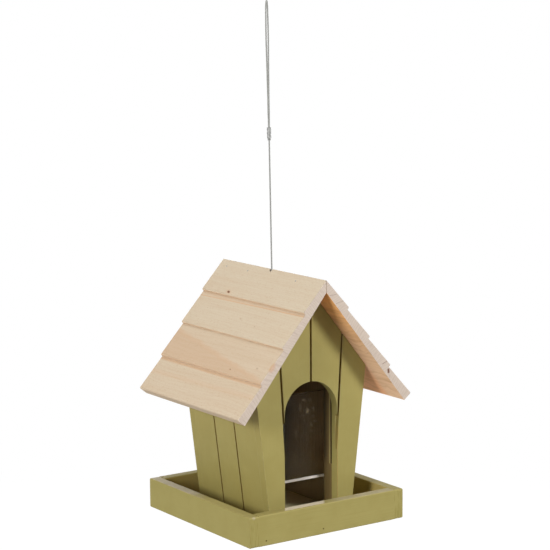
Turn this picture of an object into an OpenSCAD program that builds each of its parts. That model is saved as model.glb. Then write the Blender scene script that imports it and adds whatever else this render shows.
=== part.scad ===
// Hanging bird feeder: a small gabled house on a square tray, under a lift-up board roof.
// Millimetres, +Z up, +Y to the back. The origin is under the middle of the tray.

/* [Tray] */
// Outside width of the tray, left to right
tray_w = 175; // [150:1:220]
// Outside depth of the tray, front to back
tray_d = 175; // [150:1:220]
// Height of the four tray boards
tray_h = 29; // [20:0.5:40]
// Thickness of the tray boards
rim_t = 10.5; // [8:0.5:14]
// Thickness of the floor that lies between the tray boards
floor_t = 9; // [6:0.5:12]
// Radius on the long top and bottom edges of the tray boards
rim_round = 1.2; // [0.2:0.1:2]
// Radius on the corners at the ends of the tray's side boards
end_round = 1.8; // [0.4:0.1:4]

/* [House] */
// Width of the house where it stands on the floor
house_w = 93; // [89:0.5:110]
// Depth of the house over both gable walls
house_d = 122; // [110:1:140]
// Thickness of the two gable walls
gable_t = 9; // [6:0.5:12]
// Thickness of the two side walls
side_t = 9; // [6:0.5:11]
// Outward lean of the side walls, in degrees
side_lean = 7; // [2:0.5:10]
// Height at which the roof boards meet underneath, at the gable peaks
peak_z = 226; // [210:1:250]
// Width of the saw kerfs that mark out planks on the walls
kerf_w = 2; // [1:0.1:3]
// Depth of the saw kerfs
kerf_deep = 2.5; // [1:0.1:4]
// Place of a gable's outer kerfs, as a share of its half width
kerf_share = 0.535; // [0.45:0.005:0.6]
// Planks marked out on each side wall
side_planks = 3; // [2:1:5]

/* [Arches and panes] */
// Width of the arched opening in each gable wall
arch_w = 60; // [50:1:62]
// Height at which the arch's round top begins
arch_spring_z = 109; // [95:1:115]
// Depth of the cleats behind the gable walls, front to back
cleat_deep = 12.5; // [8:0.5:18]
// Height of the cleats' tops
cleat_top_z = 150; // [135:1:156]
// Gap between a cleat and the foot of the side wall
cleat_gap = 0.4; // [0.2:0.1:0.8]
// Width of the stopped slot between a cleat and its wall
slot_w = 2; // [1:0.1:3]
// Depth of the stopped slot
slot_deep = 3; // [1:0.5:5]
// Height at which the slot stops
slot_z = 54; // [40:1:70]
// Thickness of the clear panes
pane_t = 3; // [2:0.5:4]
// Height of the panes' lower edges, over the seed outlets
pane_z = 39.5; // [30:0.5:50]
// Height of the panes
pane_h = 84; // [70:1:95]
// How far a pane stays back from the outer faces of its cleats
pane_inset = 1; // [0.5:0.5:2]

/* [Roof] */
// Pitch of the roof, in degrees
pitch = 51; // [47:0.5:54]
// Length of the roof boards, front to back
roof_len = 172; // [150:1:210]
// Width of a full roof board, down the slope
course_w = 38.3; // [32:0.1:42]
// Width of a ridge board, measured on its underside
ridge_w = 29; // [22:0.5:32]
// Thickness of a roof board at its upper edge
board_thin = 7; // [5:0.5:8]
// Thickness of a roof board at its lower edge
board_thick = 9.5; // [8.5:0.5:12]
// Radius on the lower edge of each board
butt_round = 1.4; // [0.4:0.1:2]
// Thickness of the two ribs that hold the roof boards together
rib_t = 12; // [8:0.5:15]
// Gap between a rib and the gable wall beside it
rib_gap = 2; // [1:0.5:4]
// Depth of a rib below the peak
rib_h = 66; // [50:1:67]
// Gap between the walls' tops and the roof boards above them, measured straight down
wall_top_gap = 0.4; // [0.2:0.1:0.8]

/* [Hanging wire] */
// Diameter of the wire
wire_d = 1.5; // [1:0.1:2]
// Lean of the wire towards the back, in degrees, as the feeder hangs a little off true
wire_lean = 1.2; // [0:0.1:2]
// Gap round the wire in the ridge
ridge_hole_gap = 1.2; // [0.8:0.1:2]
// Gap round the wire in the hanger bar
bar_hole_gap = 0.3; // [0.2:0.1:0.5]
// Width of the hanger bar, front to back
bar_w = 18; // [12:1:24]
// Height of the hanger bar
bar_h = 12; // [8:0.5:14]
// Height of the hanger bar's underside
bar_z = 134; // [130:1:136]
// Diameter of the stop ferrule under the bar
stop_d = 4.4; // [3.5:0.1:6]
// Length of the stop ferrule
stop_len = 8; // [6:0.5:12]
// Height of the crimp ferrule's lower end, which stops the roof
crimp_z = 359; // [340:1:380]
// Length of the crimp ferrule with its collar
crimp_len = 12; // [9:0.5:15]
// Width of the crimp ferrule
crimp_w = 5.4; // [4.6:0.1:6]
// Thickness of the crimp ferrule
crimp_t = 3.8; // [3:0.1:4.2]
// Turn of the loop's plane about the wire, in degrees from the X axis
loop_turn = 46; // [0:1:180]

/* [Hidden] */

olive = [0.6, 0.56, 0.33];
pine = [0.86, 0.78, 0.66];
inner_pine = [0.7, 0.52, 0.33];
clear = [0.8, 0.85, 0.85, 0.4];
steel = [0.6, 0.6, 0.62];

// Facets of a full circle
round_fn = 96;
// How far a cut runs past the face that it opens
over = 1;

// The house: half widths at the floor, and the line where the walls meet the roof's underside
foot_x = house_w / 2;
side_t_level = side_t / cos(side_lean);
inner_foot_x = foot_x - side_t_level;
function outer_x(z) = foot_x + (z - floor_t) * tan(side_lean);
function inner_x(z) = outer_x(z) - side_t_level;
function roof_z(x) = peak_z - x * tan(pitch);
// Height at which a line that starts at foot x and leans with the walls meets a roof line
function meet_z(foot, drop) =
    (peak_z - drop - (foot - floor_t * tan(side_lean)) * tan(pitch)) / (1 + tan(side_lean) * tan(pitch));
gable_in_y = house_d / 2 - gable_t;

// Cleats stand in the corners between a gable wall and the side walls
cleat_w = inner_foot_x - cleat_gap - arch_w / 2;
cleat_back_y = gable_in_y - cleat_deep;

// Roof boards, drawn in slope measure: s down the slope from the peak, n out from the underside
taper = (board_thick - board_thin) / course_w;
ridge_start = ridge_w - course_w;
ridge_n = (board_thin - taper * ridge_start) / (1 + taper * tan(pitch));

// How far the wire and what is on it lie to the back of the Z axis
function lean_y(z) = (z - bar_z) * tan(wire_lean);

// The wire's routes, as points chosen by hand, before the wire's lean and the loop's turn
wire_route = [[0, 0, 134], [0, 0, 359]];
loop_route = [
    [-1.2, 0, 371], [-1.5, 0, 375], [-2.1, 0, 382], [-2.3, 0, 392], [-2.5, 0, 402], [-3.2, 0, 411],
    [-3.6, 0, 419], [-4.1, 0, 428], [-4.8, 0, 437], [-5.5, 0, 446], [-6, 0, 455], [-5.9, 0, 464],
    [-5.3, 0, 473], [-4.9, 0, 479.5], [-4.1, 0, 484.2], [-2.6, 0, 487.3], [0, 0, 488.8],
    [2.6, 0, 487.3], [4.1, 0, 484.2], [4.9, 0, 479.5], [5.3, 0, 473], [5.9, 0, 464], [6, 0, 455],
    [5.5, 0, 446], [4.8, 0, 437], [4.1, 0, 428], [3.6, 0, 419], [3.2, 0, 411], [2.5, 0, 402],
    [2.3, 0, 392], [2.1, 0, 382], [1.5, 0, 375], [1.2, 0, 371]
];
// Sides of the wire's tube, and the most distance between two of its rings
wire_sides = 8;
ring_step = 6;
crimp_collar = 2;
crimp_collar_d = 3;
nip_deep = 0.35;
nip_r = 1.5;

// Stands a flat outline, drawn in X and Z, up between two depths
module upright(y_from, y_to) {
    translate([0, y_to, 0]) rotate([90, 0, 0]) linear_extrude(y_to - y_from) children();
}

// A square outline with round corners, all made of exact arcs
module round_box_2d(w, h, r) {
    translate([r, 0]) square([w - 2 * r, h]);
    translate([0, r]) square([w, h - 2 * r]);
    for (x = [r, w - r], y = [r, h - r]) translate([x, y]) circle(r, $fn = round_fn / 3);
}

module tray_floor() {
    color(inner_pine)
    translate([-tray_w / 2 + rim_t, -tray_d / 2 + rim_t, 0])
        cube([tray_w - 2 * rim_t, tray_d - 2 * rim_t, floor_t]);
}

// Side boards run the whole depth of the tray, with worn corners at their ends
module tray_side_board(side) {
    color(olive)
    translate([side > 0 ? tray_w / 2 - rim_t : -tray_w / 2, 0, 0])
    intersection() {
        translate([0, tray_d / 2, 0])
            rotate([90, 0, 0]) linear_extrude(tray_d) round_box_2d(rim_t, tray_h, rim_round);
        translate([0, -tray_d / 2, 0])
            rotate([90, 0, 90]) linear_extrude(rim_t) round_box_2d(tray_d, tray_h, end_round);
    }
}

// Front and back boards fit between the side boards
module tray_end_board(end) {
    color(olive)
    translate([-tray_w / 2 + rim_t, end > 0 ? tray_d / 2 - rim_t : -tray_d / 2, 0])
        rotate([90, 0, 90]) linear_extrude(tray_w - 2 * rim_t) round_box_2d(rim_t, tray_h, rim_round);
}

// The gable's slopes lie just under the roof boards, which rest on them
module gable_outline() {
    eave_z = meet_z(foot_x, wall_top_gap);
    polygon([
        [-foot_x, floor_t], [foot_x, floor_t],
        [outer_x(eave_z), eave_z], [0, peak_z - wall_top_gap], [-outer_x(eave_z), eave_z]
    ]);
}

module arch_outline() {
    translate([-arch_w / 2, floor_t - over]) square([arch_w, arch_spring_z - floor_t + over]);
    translate([0, arch_spring_z]) circle(d = arch_w, $fn = round_fn);
}

// Three kerfs rise from the floor to the peak, and fan out with the walls
module gable_kerf_outline() {
    for (side = [-1, 0, 1]) {
        low_x = side * kerf_share * outer_x(floor_t - over);
        high_x = side * kerf_share * outer_x(peak_z);
        polygon([
            [low_x - kerf_w / 2, floor_t - over], [low_x + kerf_w / 2, floor_t - over],
            [high_x + kerf_w / 2, peak_z], [high_x - kerf_w / 2, peak_z]
        ]);
    }
}

module gable_wall(end) {
    color(olive)
    scale([1, -end, 1])
    difference() {
        upright(-house_d / 2, -gable_in_y) gable_outline();
        upright(-house_d / 2 - over, -gable_in_y + over) arch_outline();
        upright(-house_d / 2 - over, -house_d / 2 + kerf_deep) gable_kerf_outline();
    }
}

// A leaning board between the gable walls, with its top cut to the roof's slope
module side_wall(side) {
    plank_w = 2 * gable_in_y / side_planks;
    outer_top = meet_z(foot_x, wall_top_gap);
    inner_top = meet_z(inner_foot_x, wall_top_gap);
    color(olive)
    scale([side, 1, 1])
    difference() {
        upright(-gable_in_y, gable_in_y) polygon([
            [inner_foot_x, floor_t], [foot_x, floor_t],
            [outer_x(outer_top), outer_top], [inner_x(inner_top), inner_top]
        ]);
        for (k = [1 : side_planks - 1])
            translate([foot_x, -gable_in_y + k * plank_w, floor_t])
                rotate([0, side_lean, 0])
                    translate([-kerf_deep, -kerf_w / 2, -gable_t])
                        cube([kerf_deep + over, kerf_w, peak_z]);
    }
}

// An upright batten behind a gable wall, flush with the arch's edge, with a stopped slot at the wall
module cleat(side, end) {
    color(inner_pine)
    scale([side, -end, 1])
    difference() {
        translate([arch_w / 2, -gable_in_y, floor_t]) cube([cleat_w, cleat_deep, cleat_top_z - floor_t]);
        translate([arch_w / 2 - over, -gable_in_y - over, slot_z])
            cube([slot_deep + over, slot_w + over, cleat_top_z]);
    }
}

// A clear sheet on the backs of the cleats, which leaves the seed outlet open below it
module pane(end) {
    half_w = arch_w / 2 + cleat_w - pane_inset;
    color(clear)
    scale([1, -end, 1])
    translate([-half_w, -cleat_back_y, pane_z]) cube([2 * half_w, pane_t, pane_h]);
}

// A hole round the wire, between two heights
module wire_hole(d, low, high) {
    translate([0, lean_y(low), low])
        rotate([-wire_lean, 0, 0]) cylinder(d = d, h = (high - low) / cos(wire_lean), $fn = 48);
}

// A bar between the side walls that takes the wire's pull
module hanger_bar() {
    top = bar_z + bar_h;
    color(inner_pine)
    difference() {
        upright(-bar_w / 2, bar_w / 2) polygon([
            [-inner_x(bar_z), bar_z], [inner_x(bar_z), bar_z], [inner_x(top), top], [-inner_x(top), top]
        ]);
        wire_hole(wire_d + 2 * bar_hole_gap, bar_z - over, top + over);
    }
}

module stop_ferrule() {
    color(steel)
    translate([0, 0, bar_z - stop_len]) cylinder(d = stop_d, h = stop_len, $fn = 48);
}

// An oval sleeve on a round collar, pinched twice on its flat faces, in line with the loop
module crimp_ferrule() {
    lobe_x = (crimp_w - crimp_t) / 2;
    sleeve_z = crimp_z + crimp_collar;
    sleeve_len = crimp_len - crimp_collar;
    color(steel)
    translate([0, lean_y(crimp_z + crimp_len / 2), 0]) rotate([0, 0, loop_turn]) {
        translate([0, 0, crimp_z]) cylinder(d = crimp_collar_d, h = crimp_collar, $fn = 32);
        difference() {
            translate([0, 0, sleeve_z]) linear_extrude(sleeve_len) {
                square([2 * lobe_x, crimp_t], center = true);
                for (x = [-lobe_x, lobe_x]) translate([x, 0]) circle(d = crimp_t, $fn = 32);
            }
            for (part = [1, 2], face = [-1, 1])
                translate([0, face * (crimp_t / 2 - nip_deep + nip_r), sleeve_z + part * sleeve_len / 3])
                    rotate([0, 90, 0]) cylinder(r = nip_r, h = crimp_w + over, center = true, $fn = 32);
        }
    }
}

// A round tube along a route in the XZ plane, with extra rings on its long stretches. The route is
// turned about the Z axis and leaned with the wire, and its end rings stay level
function unit(v) = v / norm(v);
function turned(p, turn) = [p.x * cos(turn) - p.y * sin(turn), p.x * sin(turn) + p.y * cos(turn), p.z];
function leaned(p) = p + [0, lean_y(p.z), 0];
function ring_points(route) = [
    for (i = [0 : len(route) - 2])
        let (step = route[i + 1] - route[i], parts = ceil(norm(step) / ring_step))
            for (k = [0 : parts - 1]) route[i] + step * k / parts,
    route[len(route) - 1]
];
function heading(points, i) =
    let (last = len(points) - 1)
        unit(points[min(i + 1, last)] - points[max(i - 1, 0)]);
function ring(centre, along, d) =
    let (across = cross(along, [0, 1, 0]))
        [for (k = [0 : wire_sides - 1])
            let (a = k * 360 / wire_sides)
                centre + d / 2 * (cos(a) * [0, 1, 0] + sin(a) * across)];
module tube(route, d, turn) {
    points = ring_points(route);
    last = len(points) - 1;
    corners = [
        for (i = [0 : last])
            let (along = i == 0 ? [0, 0, 1] : i == last ? [0, 0, sign(points[last].z - points[last - 1].z)]
                : heading(points, i))
                for (corner = ring(points[i], along, d)) leaned(turned(corner, turn))
    ];
    walls = [
        for (i = [0 : last - 1], k = [0 : wire_sides - 1])
            let (next = (k + 1) % wire_sides, low = i * wire_sides, high = low + wire_sides)
                each [[low + k, high + k, high + next], [low + k, high + next, low + next]]
    ];
    start_cap = [[for (k = [0 : wire_sides - 1]) k]];
    end_cap = [[for (k = [wire_sides - 1 : -1 : 0]) last * wire_sides + k]];
    polyhedron(corners, concat(walls, start_cap, end_cap));
}

module hanging_wire() {
    color(steel) tube(wire_route, wire_d, 0);
}

module hanging_loop() {
    color(steel) tube(loop_route, wire_d, loop_turn);
}

// The end profile of one board, in slope measure; the top board is cut to the mitre at the ridge
module board_profile(course) {
    low_s = ridge_w + course * course_w;
    high_s = low_s - course_w;
    butt_arc = [
        for (a = [0 : 15 : 90])
            [low_s - butt_round + butt_round * cos(a), board_thick - butt_round + butt_round * sin(a)]
    ];
    upper_edge = course == 0
        ? [[-ridge_n * tan(pitch), ridge_n], [0, 0]]
        : [[high_s, board_thin], [high_s, 0]];
    polygon(concat([[low_s, 0]], butt_arc, upper_edge));
}

module roof_board(side, course) {
    color(pine)
    scale([side, 1, 1])
    difference() {
        upright(-roof_len / 2, roof_len / 2)
            translate([0, peak_z]) rotate(-pitch) board_profile(course);
        if (course == 0)
            wire_hole(wire_d + 2 * ridge_hole_gap, bar_z, 2 * peak_z);
    }
}

// A triangle inside the house, on which the boards of both slopes are nailed
module roof_rib(end) {
    rib_y = gable_in_y - rib_gap;
    half_w = rib_h / tan(pitch);
    color(inner_pine)
    scale([1, -end, 1])
    upright(-rib_y, -rib_y + rib_t)
        polygon([[-half_w, peak_z - rib_h], [half_w, peak_z - rib_h], [0, peak_z]]);
}

tray_floor();
tray_end_board(-1);  // tray_board_front
tray_end_board(1);  // tray_board_back
tray_side_board(-1);  // tray_board_left
tray_side_board(1);  // tray_board_right
gable_wall(-1);  // gable_wall_front
gable_wall(1);  // gable_wall_back
side_wall(-1);  // side_wall_left
side_wall(1);  // side_wall_right
cleat(-1, -1);  // cleat_front_left
cleat(1, -1);  // cleat_front_right
cleat(-1, 1);  // cleat_back_left
cleat(1, 1);  // cleat_back_right
pane(-1);  // pane_front
pane(1);  // pane_back
hanger_bar();
stop_ferrule();
hanging_wire();
crimp_ferrule();
hanging_loop();
roof_board(-1, 0);  // roof_board_left_1
roof_board(-1, 1);  // roof_board_left_2
roof_board(-1, 2);  // roof_board_left_3
roof_board(-1, 3);  // roof_board_left_4
roof_board(1, 0);  // roof_board_right_1
roof_board(1, 1);  // roof_board_right_2
roof_board(1, 2);  // roof_board_right_3
roof_board(1, 3);  // roof_board_right_4
roof_rib(-1);  // roof_rib_front
roof_rib(1);  // roof_rib_back
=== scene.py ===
import math
from functools import cached_property

import bpy
from mathutils import Matrix, Quaternion, Vector
from mathutils.bvhtree import BVHTree


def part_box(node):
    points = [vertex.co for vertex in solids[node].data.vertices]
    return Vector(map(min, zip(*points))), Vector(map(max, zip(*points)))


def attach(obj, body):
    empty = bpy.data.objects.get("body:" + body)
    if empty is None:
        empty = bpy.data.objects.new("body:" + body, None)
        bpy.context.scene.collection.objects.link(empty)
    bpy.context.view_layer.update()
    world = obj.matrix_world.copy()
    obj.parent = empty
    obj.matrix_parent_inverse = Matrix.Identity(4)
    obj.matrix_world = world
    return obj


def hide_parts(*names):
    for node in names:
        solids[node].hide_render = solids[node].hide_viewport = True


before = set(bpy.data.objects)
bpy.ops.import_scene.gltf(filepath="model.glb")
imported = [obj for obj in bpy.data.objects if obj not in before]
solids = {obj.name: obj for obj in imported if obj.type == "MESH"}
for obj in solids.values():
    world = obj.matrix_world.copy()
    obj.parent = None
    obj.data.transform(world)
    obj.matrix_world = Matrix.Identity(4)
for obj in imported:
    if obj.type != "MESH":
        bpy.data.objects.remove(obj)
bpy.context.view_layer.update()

MM = 0.001

# Angles and sizes that the looks share with the construction, in metres
PITCH = math.radians(51)
PEAK_Z = 0.226
SIDE_LEAN = math.radians(7)
FLOOR_T = 0.009
TRAY_HALF = 0.0875
RIM_T = 0.0105
RIM_Z = 0.029
HOUSE_FOOT = 0.0465
KERF_W = 0.002
KERF_DEEP = 0.0025
KERF_SHARE = 0.535
SIDE_PLANKS = 3
BAR_Z = 0.134
WIRE_LEAN = math.radians(1.2)
LOOP_TURN = math.radians(46)
WIRE_D = 0.0015

# Places that they share too, in millimetres: a slot's face and end, a pane's foot and top, the arch's side
SLOT_FACE_Y = 50
SLOT_END_Z = 54
PANE_Z = 39.5
PANE_TOP = 123.5
ARCH_HALF = 30

# The sides and the ends of the feeder, by the sign of their axis
SIDE_NAMES = {-1: "left", 1: "right"}
END_NAMES = {-1: "front", 1: "back"}
X_AXIS, Y_AXIS, Z_AXIS = 0, 1, 2
WHITE = (1, 1, 1, 1)

# Camera, at the photograph's viewing angle
CAMERA_PLACE = Vector((-1.01362, -1.48298, 0.50983))
CAMERA_AIM = Vector((0.0015, -0.0010, 0.2316))
CAMERA_ROLL = math.radians(-0.4326)
CAMERA_LENS = 125.714
SENSOR_WIDTH = 36


def look_rotation(place, aim):
    """The turn of a camera or a lamp that looks from a place at an aim."""
    return (aim - place).to_track_quat("-Z", "Y")


def add_object(name, data):
    made = bpy.data.objects.new(name, data)
    bpy.context.scene.collection.objects.link(made)
    return made


def add_camera():
    data = bpy.data.cameras.new("camera")
    data.lens = CAMERA_LENS
    data.sensor_width = SENSOR_WIDTH
    camera = add_object("camera", data)
    camera.location = CAMERA_PLACE
    camera.rotation_mode = "QUATERNION"
    roll = Quaternion((0, 0, 1), CAMERA_ROLL)
    camera.rotation_quaternion = look_rotation(CAMERA_PLACE, CAMERA_AIM) @ roll
    bpy.context.scene.camera = camera


def add_mesh(name, vertices, faces, smooth=True):
    """A new object in the row frame from points and faces."""
    mesh = bpy.data.meshes.new(name)
    mesh.from_pydata([tuple(v) for v in vertices], [], faces)
    mesh.polygons.foreach_set("use_smooth", [smooth] * len(mesh.polygons))
    mesh.update()
    return add_object(name, mesh)


# The wire's routes, in millimetres, before the loop's turn and the wire's lean. The loop is given by one
# of its strands and its top
WIRE_ROUTE = [(0, 0, 134), (0, 0, 359)]
LOOP_SIDE = [
    (1.2, 371), (1.5, 375), (2.1, 382), (2.3, 392), (2.5, 402), (3.2, 411), (3.6, 419), (4.1, 428),
    (4.8, 437), (5.5, 446), (6, 455), (5.9, 464), (5.3, 473), (4.9, 479.5), (4.1, 484.2), (2.6, 487.3),
]
LOOP_TOP_Z = 488.8
LOOP_ROUTE = (
    [(-x, 0, z) for x, z in LOOP_SIDE] + [(0, 0, LOOP_TOP_Z)] + [(x, 0, z) for x, z in reversed(LOOP_SIDE)]
)
STRAND_LAY = 0.009
STRANDS = 6
RING_POINTS = 24
RING_STEP = 0.0006


def leaned(point):
    """A point in metres, moved back as far as the wire leans at its height."""
    return point + Vector((0, (point.z - BAR_Z) * math.tan(WIRE_LEAN), 0))


def place_route(route, turn):
    spin = Matrix.Rotation(turn, 3, "Z")
    return [leaned(spin @ (Vector(p) * MM)) for p in route]


def smooth_path(points, step):
    """Points about one step apart on a smooth curve through the route's points."""
    path = []
    last = len(points) - 1
    for i in range(last):
        before = points[max(i - 1, 0)]
        a, b = points[i], points[i + 1]
        after = points[min(i + 2, last)]
        span = (b - a).length
        count = max(1, round(span / step))
        lead = (b - before).normalized() * span
        trail = (after - a).normalized() * span
        for k in range(count):
            t = k / count
            path.append(
                a * (2 * t**3 - 3 * t**2 + 1) + lead * (t**3 - 2 * t**2 + t)
                + b * (3 * t**2 - 2 * t**3) + trail * (t**3 - t**2)
            )
    path.append(points[last].copy())
    return path


def strand_radius(angle, radius):
    """The outline of strands laid side by side in a circle of the rope's radius."""
    strand = radius / 3
    off = (angle * STRANDS / math.tau + 0.5) % 1 - 0.5
    swing = off * math.tau / STRANDS
    reach = max(0.0, strand**2 - (2 * strand * math.sin(swing)) ** 2)
    return 2 * strand * math.cos(swing) + math.sqrt(reach)


def band_faces(low, high, count):
    """The faces between two rings of points that start at low and high."""
    faces = []
    for k in range(count):
        following = (k + 1) % count
        faces.append((low + k, low + following, high + following, high + k))
    return faces


def wire_rope(name, path, diameter):
    """A laid wire rope along a path, as one closed mesh."""
    vertices = []
    faces = []
    along = (path[1] - path[0]).normalized()
    side = along.cross(Vector((0, 1, 0))).normalized()
    travelled = 0.0
    for i, point in enumerate(path):
        ahead = path[min(i + 1, len(path) - 1)] - path[max(i - 1, 0)]
        turn = along.rotation_difference(ahead.normalized())
        along = ahead.normalized()
        side = (turn @ side).normalized()
        across = along.cross(side)
        if i:
            travelled += (point - path[i - 1]).length
        twist = math.tau * travelled / STRAND_LAY
        for k in range(RING_POINTS):
            angle = math.tau * k / RING_POINTS
            r = strand_radius(angle, diameter / 2)
            vertices.append(
                point + side * (r * math.cos(angle + twist)) + across * (r * math.sin(angle + twist))
            )
    for i in range(len(path) - 1):
        faces += band_faces(i * RING_POINTS, (i + 1) * RING_POINTS, RING_POINTS)
    faces.append(tuple(reversed(range(RING_POINTS))))
    faces.append(tuple(range((len(path) - 1) * RING_POINTS, len(path) * RING_POINTS)))
    return add_mesh(name, vertices, faces)


def path_length(path):
    return sum((b - a).length for a, b in zip(path, path[1:]))


def add_cords():
    """The wire and its loop as laid ropes. Each runs from its ferrule to a fitting."""
    made = []
    wire_path = smooth_path(place_route(WIRE_ROUTE, 0), RING_STEP)
    loop_path = smooth_path(place_route(LOOP_ROUTE, LOOP_TURN), RING_STEP)
    for name, node, path, ferrule in (
        ("wire_rope", "hanging_wire", wire_path, "stop_ferrule"),
        ("wire_loop", "hanging_loop", loop_path, "crimp_ferrule"),
    ):
        rope = wire_rope(name, path, WIRE_D)
        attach(rope, "house")
        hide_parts(node)
        path_length(path)
        made.append(rope)
    return made


# The sockets of a colour mix: its share, its two colours and its result
MIX_SHARE, MIX_FIRST, MIX_SECOND, MIX_RESULT = 0, 6, 7, 2


class Value:
    """An output of a node. Arithmetic with values makes Math nodes."""

    def __init__(self, nodes, socket):
        self.nodes = nodes
        self.socket = socket

    def __add__(self, other):
        return self.nodes.math("ADD", self, other)

    def __radd__(self, other):
        return self.nodes.math("ADD", other, self)

    def __sub__(self, other):
        return self.nodes.math("SUBTRACT", self, other)

    def __rsub__(self, other):
        return self.nodes.math("SUBTRACT", other, self)

    def __mul__(self, other):
        return self.nodes.math("MULTIPLY", self, other)

    def __truediv__(self, other):
        return self.nodes.math("DIVIDE", self, other)


class Nodes:
    """A node tree, with short calls for the nodes that the looks use."""

    def __init__(self, tree):
        self.tree = tree
        self.tree.nodes.clear()

    def node(self, kind, sockets, **settings):
        made = self.tree.nodes.new("ShaderNode" + kind)
        for key, value in settings.items():
            setattr(made, key, value)
        for key, value in sockets.items():
            if isinstance(value, Value):
                self.tree.links.new(value.socket, made.inputs[key])
            else:
                made.inputs[key].default_value = value
        return made

    def value(self, kind, sockets, output=0, **settings):
        """One output of a new node."""
        return Value(self, self.node(kind, sockets, **settings).outputs[output])

    def math(self, operation, a, b=0.0):
        return self.value("Math", {0: a, 1: b}, operation=operation)

    def larger(self, a, b):
        return self.math("MAXIMUM", a, b)

    def absolute(self, value):
        return self.math("ABSOLUTE", value)

    def step(self, value, low, high):
        """0 below low, 1 above high, and smooth between them. The two may be in either order."""
        sockets = {"Value": value, "From Min": low, "From Max": high}
        return self.value("MapRange", sockets, interpolation_type="SMOOTHSTEP")

    def near(self, value, centre, reach, soft):
        """1 within reach of the centre, and 0 past reach and soft."""
        return self.step(self.absolute(value - centre), reach + soft, reach)

    def mix(self, share, a, b):
        sockets = {MIX_SHARE: share, MIX_FIRST: a, MIX_SECOND: b}
        return self.value("Mix", sockets, MIX_RESULT, data_type="RGBA")

    def tint(self, colour, mask, tone, share):
        """The colour with another tone over it, by a share of the mask."""
        return self.mix(mask * share, colour, tone)

    def figure(self, colour, noise, tone, low, high, share):
        """The colour with a share of another tone where a noise rises from low to high."""
        return self.tint(colour, self.step(noise, low, high), tone, share)

    def ramp(self, value, stops):
        made = self.node("ValToRGB", {"Fac": value})
        elements = made.color_ramp.elements
        while len(elements) < len(stops):
            elements.new(1.0)
        for element, (place, level) in zip(elements, stops):
            element.position = place
            element.color = (level, level, level, 1)
        return Value(self, made.outputs[0])

    def noise(self, vector, detail=2.0, roughness=0.5, scale=1.0):
        sockets = {"Vector": vector, "Scale": scale, "Detail": detail, "Roughness": roughness}
        return self.value("TexNoise", sockets, "Fac")

    def swing(self, noise, reach):
        """A noise that swings to both sides of 0, by up to half its reach."""
        return (noise - 0.5) * reach

    def grain(self, s, y, n, across, along, detail, roughness):
        """Noise drawn out along y, by its scales across the grain and along it."""
        return self.noise(self.join(s * across, y * along, n * across), detail, roughness)

    def split(self, vector):
        parts = self.node("SeparateXYZ", {0: vector}).outputs
        return [Value(self, part) for part in parts]

    def join(self, x, y, z):
        return self.value("CombineXYZ", {0: x, 1: y, 2: z})

    def vector_math(self, operation, a, b, output="Vector"):
        return self.value("VectorMath", {0: a, 1: b}, output, operation=operation)

    def stretch(self, vector, by=(1, 1, 1), shift=(0, 0, 0)):
        return self.vector_math("ADD", self.vector_math("MULTIPLY", vector, by), shift)

    def away(self, vector, centre):
        """How far a point is from a centre."""
        return self.vector_math("DISTANCE", vector, centre, "Value")

    def along(self, vector, direction):
        """How far a point lies in a direction."""
        return self.vector_math("DOT_PRODUCT", vector, direction, "Value")


class Look(Nodes):
    """One material's nodes."""

    def __init__(self, name):
        self.material = bpy.data.materials.new(name)
        self.material.use_nodes = True
        super().__init__(self.material.node_tree)

    @cached_property
    def place(self):
        """The point in millimetres, in the frame that the construction shares."""
        where = self.value("TexCoord", {}, "Object")
        return self.value("VectorMath", {0: where, "Scale": 1 / MM}, operation="SCALE")

    @cached_property
    def parts(self):
        """The point's x, y and z."""
        return self.split(self.place)

    @cached_property
    def facing(self):
        """The three parts of the surface's direction."""
        return self.split(self.value("TexCoord", {}, "Normal"))

    def cloud(self, by, shift=(0, 0, 0), detail=3.0, roughness=0.6):
        """Noise by its scales along the axes."""
        return self.noise(self.stretch(self.place, by, shift), detail, roughness)

    def principled(self, **sockets):
        """A shader. A name's underscores stand for spaces."""
        spaced = {key.replace("_", " "): value for key, value in sockets.items()}
        return self.value("BsdfPrincipled", spaced)

    def output(self, shader):
        """Closes the material with a shader, and gives it."""
        self.node("OutputMaterial", {"Surface": shader})
        return self.material

    def surface(self, colour, rough, height, bump, gloss=0.5, metallic=0.0):
        """Closes the material with a bumped surface, and gives it."""
        strength, distance = bump
        normal = self.value("Bump", {"Height": height, "Strength": strength, "Distance": distance})
        return self.output(self.principled(
            Base_Color=colour, Roughness=rough, Normal=normal, Specular_IOR_Level=gloss, Metallic=metallic,
        ))


def srgb(red, green, blue):
    """A colour as a picture gives it, from 0 to 255, as the linear colour that shaders take."""
    def linear(level):
        share = level / 255
        return share / 12.92 if share <= 0.04045 else ((share + 0.055) / 1.055) ** 2.4
    return (linear(red), linear(green), linear(blue), 1)


# Colours
STRAW = srgb(210, 195, 171)
STREAK_WOOD = srgb(203, 180, 152)
LATE_WOOD = srgb(192, 160, 124)
PINK_WOOD = srgb(208, 180, 152)
ORANGE_WOOD = srgb(206, 160, 120)
HEART_WOOD = srgb(202, 172, 142)
FLECK = srgb(178, 140, 104)
END_GRAIN = srgb(208, 193, 180)
END_LINE = srgb(178, 158, 142)
MITRE_LINE = srgb(120, 100, 84)
BUTT_PAINTED_LIGHT = srgb(219, 189, 157)
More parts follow.
